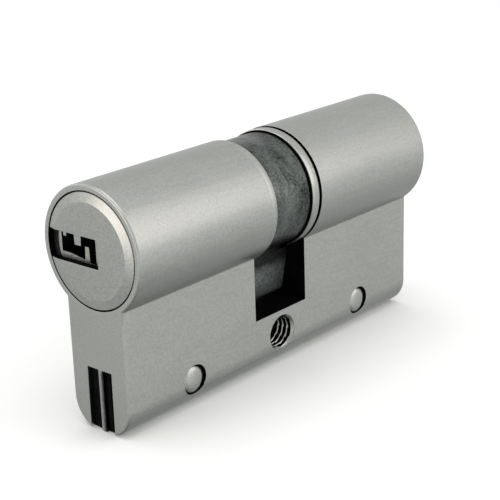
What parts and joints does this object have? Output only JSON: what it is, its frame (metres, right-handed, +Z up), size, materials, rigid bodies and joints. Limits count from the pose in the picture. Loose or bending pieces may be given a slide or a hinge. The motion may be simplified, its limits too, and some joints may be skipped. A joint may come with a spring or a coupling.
{
  "type": "euro profile lock cylinder",
  "caption": "Double euro-profile lock cylinder with a key plug in each end, a turning cam in the middle, a side fixing-screw hole and a steel bar let into the stem.",
  "frame": {"origin": "centre of the cross-hole for the fixing screw, midway along the cylinder and midway through the stem", "axes": "+Z up the stem towards the plugs, +Y along the plug axis from the front key face to the rear one, +X across the stem to the long side that is seen first"},
  "size_m": [0.017, 0.0606, 0.0327],
  "materials": {
    "satin_nickel": "satin nickel plate with a fine grain",
    "plug_nickel": "satin nickel plate, turned face",
    "blued_steel": "black oxide",
    "bar_core_steel": "bare ground edge",
    "pin_nickel": "satin nickel",
    "ring_steel": "satin",
    "sintered_steel": "dark mottled sintered steel",
    "clutch_steel": "machined",
    "hardened_steel": "ground",
    "pin_brass": "machined",
    "spring_wire": "drawn wire"
  },
  "bodies": {
    "housing": {"cylinder_body": "satin_nickel", "bar_strip_1": "blued_steel", "bar_strip_2": "blued_steel", "bar_strip_3": "bar_core_steel", "bar_strip_4": "blued_steel", "bar_strip_5": "blued_steel", "bar_pin_front": "pin_nickel", "bar_pin_rear": "pin_nickel", "front_body_guard_pin": "hardened_steel", "rear_body_guard_pin": "hardened_steel"},
    "front_plug": {"front_plug": "plug_nickel", "front_plug_guard_pin": "hardened_steel", "front_retaining_ring": "ring_steel"},
    "rear_plug": {"rear_plug": "plug_nickel", "rear_plug_guard_pin": "hardened_steel", "rear_retaining_ring": "ring_steel"},
    "cam": {"cam": "sintered_steel"},
    "front_half_clutch": {"front_half_clutch": "clutch_steel"},
    "rear_half_clutch": {"rear_half_clutch": "clutch_steel"},
    "front_key_pin_1": {"front_key_pin_1": "pin_brass"},
    "front_driver_pin_1": {"front_driver_pin_1": "hardened_steel", "front_spring_1": "spring_wire"},
    "front_key_pin_2": {"front_key_pin_2": "pin_brass"},
    "front_driver_pin_2": {"front_driver_pin_2": "hardened_steel", "front_spring_2": "spring_wire"},
    "front_key_pin_3": {"front_key_pin_3": "pin_brass"},
    "front_driver_pin_3": {"front_driver_pin_3": "hardened_steel", "front_spring_3": "spring_wire"},
    "front_key_pin_4": {"front_key_pin_4": "pin_brass"},
    "front_driver_pin_4": {"front_driver_pin_4": "hardened_steel", "front_spring_4": "spring_wire"},
    "front_key_pin_5": {"front_key_pin_5": "pin_brass"},
    "front_driver_pin_5": {"front_driver_pin_5": "hardened_steel", "front_spring_5": "spring_wire"},
    "rear_key_pin_1": {"rear_key_pin_1": "pin_brass"},
    "rear_driver_pin_1": {"rear_driver_pin_1": "hardened_steel", "rear_spring_1": "spring_wire"},
    "rear_key_pin_2": {"rear_key_pin_2": "pin_brass"},
    "rear_driver_pin_2": {"rear_driver_pin_2": "hardened_steel", "rear_spring_2": "spring_wire"},
    "rear_key_pin_3": {"rear_key_pin_3": "pin_brass"},
    "rear_driver_pin_3": {"rear_driver_pin_3": "hardened_steel", "rear_spring_3": "spring_wire"},
    "rear_key_pin_4": {"rear_key_pin_4": "pin_brass"},
    "rear_driver_pin_4": {"rear_driver_pin_4": "hardened_steel", "rear_spring_4": "spring_wire"},
    "rear_key_pin_5": {"rear_key_pin_5": "pin_brass"},
    "rear_driver_pin_5": {"rear_driver_pin_5": "hardened_steel", "rear_spring_5": "spring_wire"}
  },
  "joints": [
    {"name": "front_plug_spin", "type": "hinge", "parent": "housing", "child": "front_plug", "pos_m": [0, 0, 0.0194], "axis": [0, 1, 0], "continuous": true},
    {"name": "rear_plug_spin", "type": "hinge", "parent": "housing", "child": "rear_plug", "pos_m": [0, 0, 0.0194], "axis": [0, 1, 0], "continuous": true},
    {"name": "cam_spin", "type": "hinge", "parent": "housing", "child": "cam", "pos_m": [0, 0, 0.0194], "axis": [0, 1, 0], "continuous": true},
    {"name": "front_clutch_slide", "type": "slide", "parent": "front_plug", "child": "front_half_clutch", "axis": [0, -1, 0], "range_m": [0, 0.00115]},
    {"name": "rear_clutch_slide", "type": "slide", "parent": "rear_plug", "child": "rear_half_clutch", "axis": [0, -1, 0], "range_m": [0, 0.00115]},
    {"name": "front_key_pin_lift_1", "type": "slide", "parent": "front_plug", "child": "front_key_pin_1", "axis": [0, 0, 1], "range_m": [0, 0.0012]},
    {"name": "front_driver_press_1", "type": "slide", "parent": "housing", "child": "front_driver_pin_1", "axis": [0, 0, 1], "range_m": [-0.0015, 0], "stiffness_N_per_m": 20, "springref_m": 0.003, "deforming": ["front_spring_1"]},
    {"name": "front_key_pin_lift_2", "type": "slide", "parent": "front_plug", "child": "front_key_pin_2", "axis": [0, 0, 1], "range_m": [0, 0.0021]},
    {"name": "front_driver_press_2", "type": "slide", "parent": "housing", "child": "front_driver_pin_2", "axis": [0, 0, 1], "range_m": [-0.0015, 0], "stiffness_N_per_m": 20, "springref_m": 0.003, "deforming": ["front_spring_2"]},
    {"name": "front_key_pin_lift_3", "type": "slide", "parent": "front_plug", "child": "front_key_pin_3", "axis": [0, 0, 1], "range_m": [0, 0.0013]},
    {"name": "front_driver_press_3", "type": "slide", "parent": "housing", "child": "front_driver_pin_3", "axis": [0, 0, 1], "range_m": [-0.0015, 0], "stiffness_N_per_m": 20, "springref_m": 0.003, "deforming": ["front_spring_3"]},
    {"name": "front_key_pin_lift_4", "type": "slide", "parent": "front_plug", "child": "front_key_pin_4", "axis": [0, 0, 1], "range_m": [0, 0.0018]},
    {"name": "front_driver_press_4", "type": "slide", "parent": "housing", "child": "front_driver_pin_4", "axis": [0, 0, 1], "range_m": [-0.0015, 0], "stiffness_N_per_m": 20, "springref_m": 0.003, "deforming": ["front_spring_4"]},
    {"name": "front_key_pin_lift_5", "type": "slide", "parent": "front_plug", "child": "front_key_pin_5", "axis": [0, 0, 1], "range_m": [0, 0.001]},
    {"name": "front_driver_press_5", "type": "slide", "parent": "housing", "child": "front_driver_pin_5", "axis": [0, 0, 1], "range_m": [-0.0015, 0], "stiffness_N_per_m": 20, "springref_m": 0.003, "deforming": ["front_spring_5"]},
    {"name": "rear_key_pin_lift_1", "type": "slide", "parent": "rear_plug", "child": "rear_key_pin_1", "axis": [0, 0, 1], "range_m": [0, 0.0012]},
    {"name": "rear_driver_press_1", "type": "slide", "parent": "housing", "child": "rear_driver_pin_1", "axis": [0, 0, 1], "range_m": [-0.0015, 0], "stiffness_N_per_m": 20, "springref_m": 0.003, "deforming": ["rear_spring_1"]},
    {"name": "rear_key_pin_lift_2", "type": "slide", "parent": "rear_plug", "child": "rear_key_pin_2", "axis": [0, 0, 1], "range_m": [0, 0.0021]},
    {"name": "rear_driver_press_2", "type": "slide", "parent": "housing", "child": "rear_driver_pin_2", "axis": [0, 0, 1], "range_m": [-0.0015, 0], "stiffness_N_per_m": 20, "springref_m": 0.003, "deforming": ["rear_spring_2"]},
    {"name": "rear_key_pin_lift_3", "type": "slide", "parent": "rear_plug", "child": "rear_key_pin_3", "axis": [0, 0, 1], "range_m": [0, 0.0013]},
    {"name": "rear_driver_press_3", "type": "slide", "parent": "housing", "child": "rear_driver_pin_3", "axis": [0, 0, 1], "range_m": [-0.0015, 0], "stiffness_N_per_m": 20, "springref_m": 0.003, "deforming": ["rear_spring_3"]},
    {"name": "rear_key_pin_lift_4", "type": "slide", "parent": "rear_plug", "child": "rear_key_pin_4", "axis": [0, 0, 1], "range_m": [0, 0.0018]},
    {"name": "rear_driver_press_4", "type": "slide", "parent": "housing", "child": "rear_driver_pin_4", "axis": [0, 0, 1], "range_m": [-0.0015, 0], "stiffness_N_per_m": 20, "springref_m": 0.003, "deforming": ["rear_spring_4"]},
    {"name": "rear_key_pin_lift_5", "type": "slide", "parent": "rear_plug", "child": "rear_key_pin_5", "axis": [0, 0, 1], "range_m": [0, 0.001]},
    {"name": "rear_driver_press_5", "type": "slide", "parent": "housing", "child": "rear_driver_pin_5", "axis": [0, 0, 1], "range_m": [-0.0015, 0], "stiffness_N_per_m": 20, "springref_m": 0.003, "deforming": ["rear_spring_5"]}
  ],
  "couplings": [
    {"joint": "cam_spin", "follows": "front_plug_spin", "ratio": 1},
    {"joint": "rear_clutch_slide", "follows": "front_clutch_slide", "ratio": 1}
  ]
}
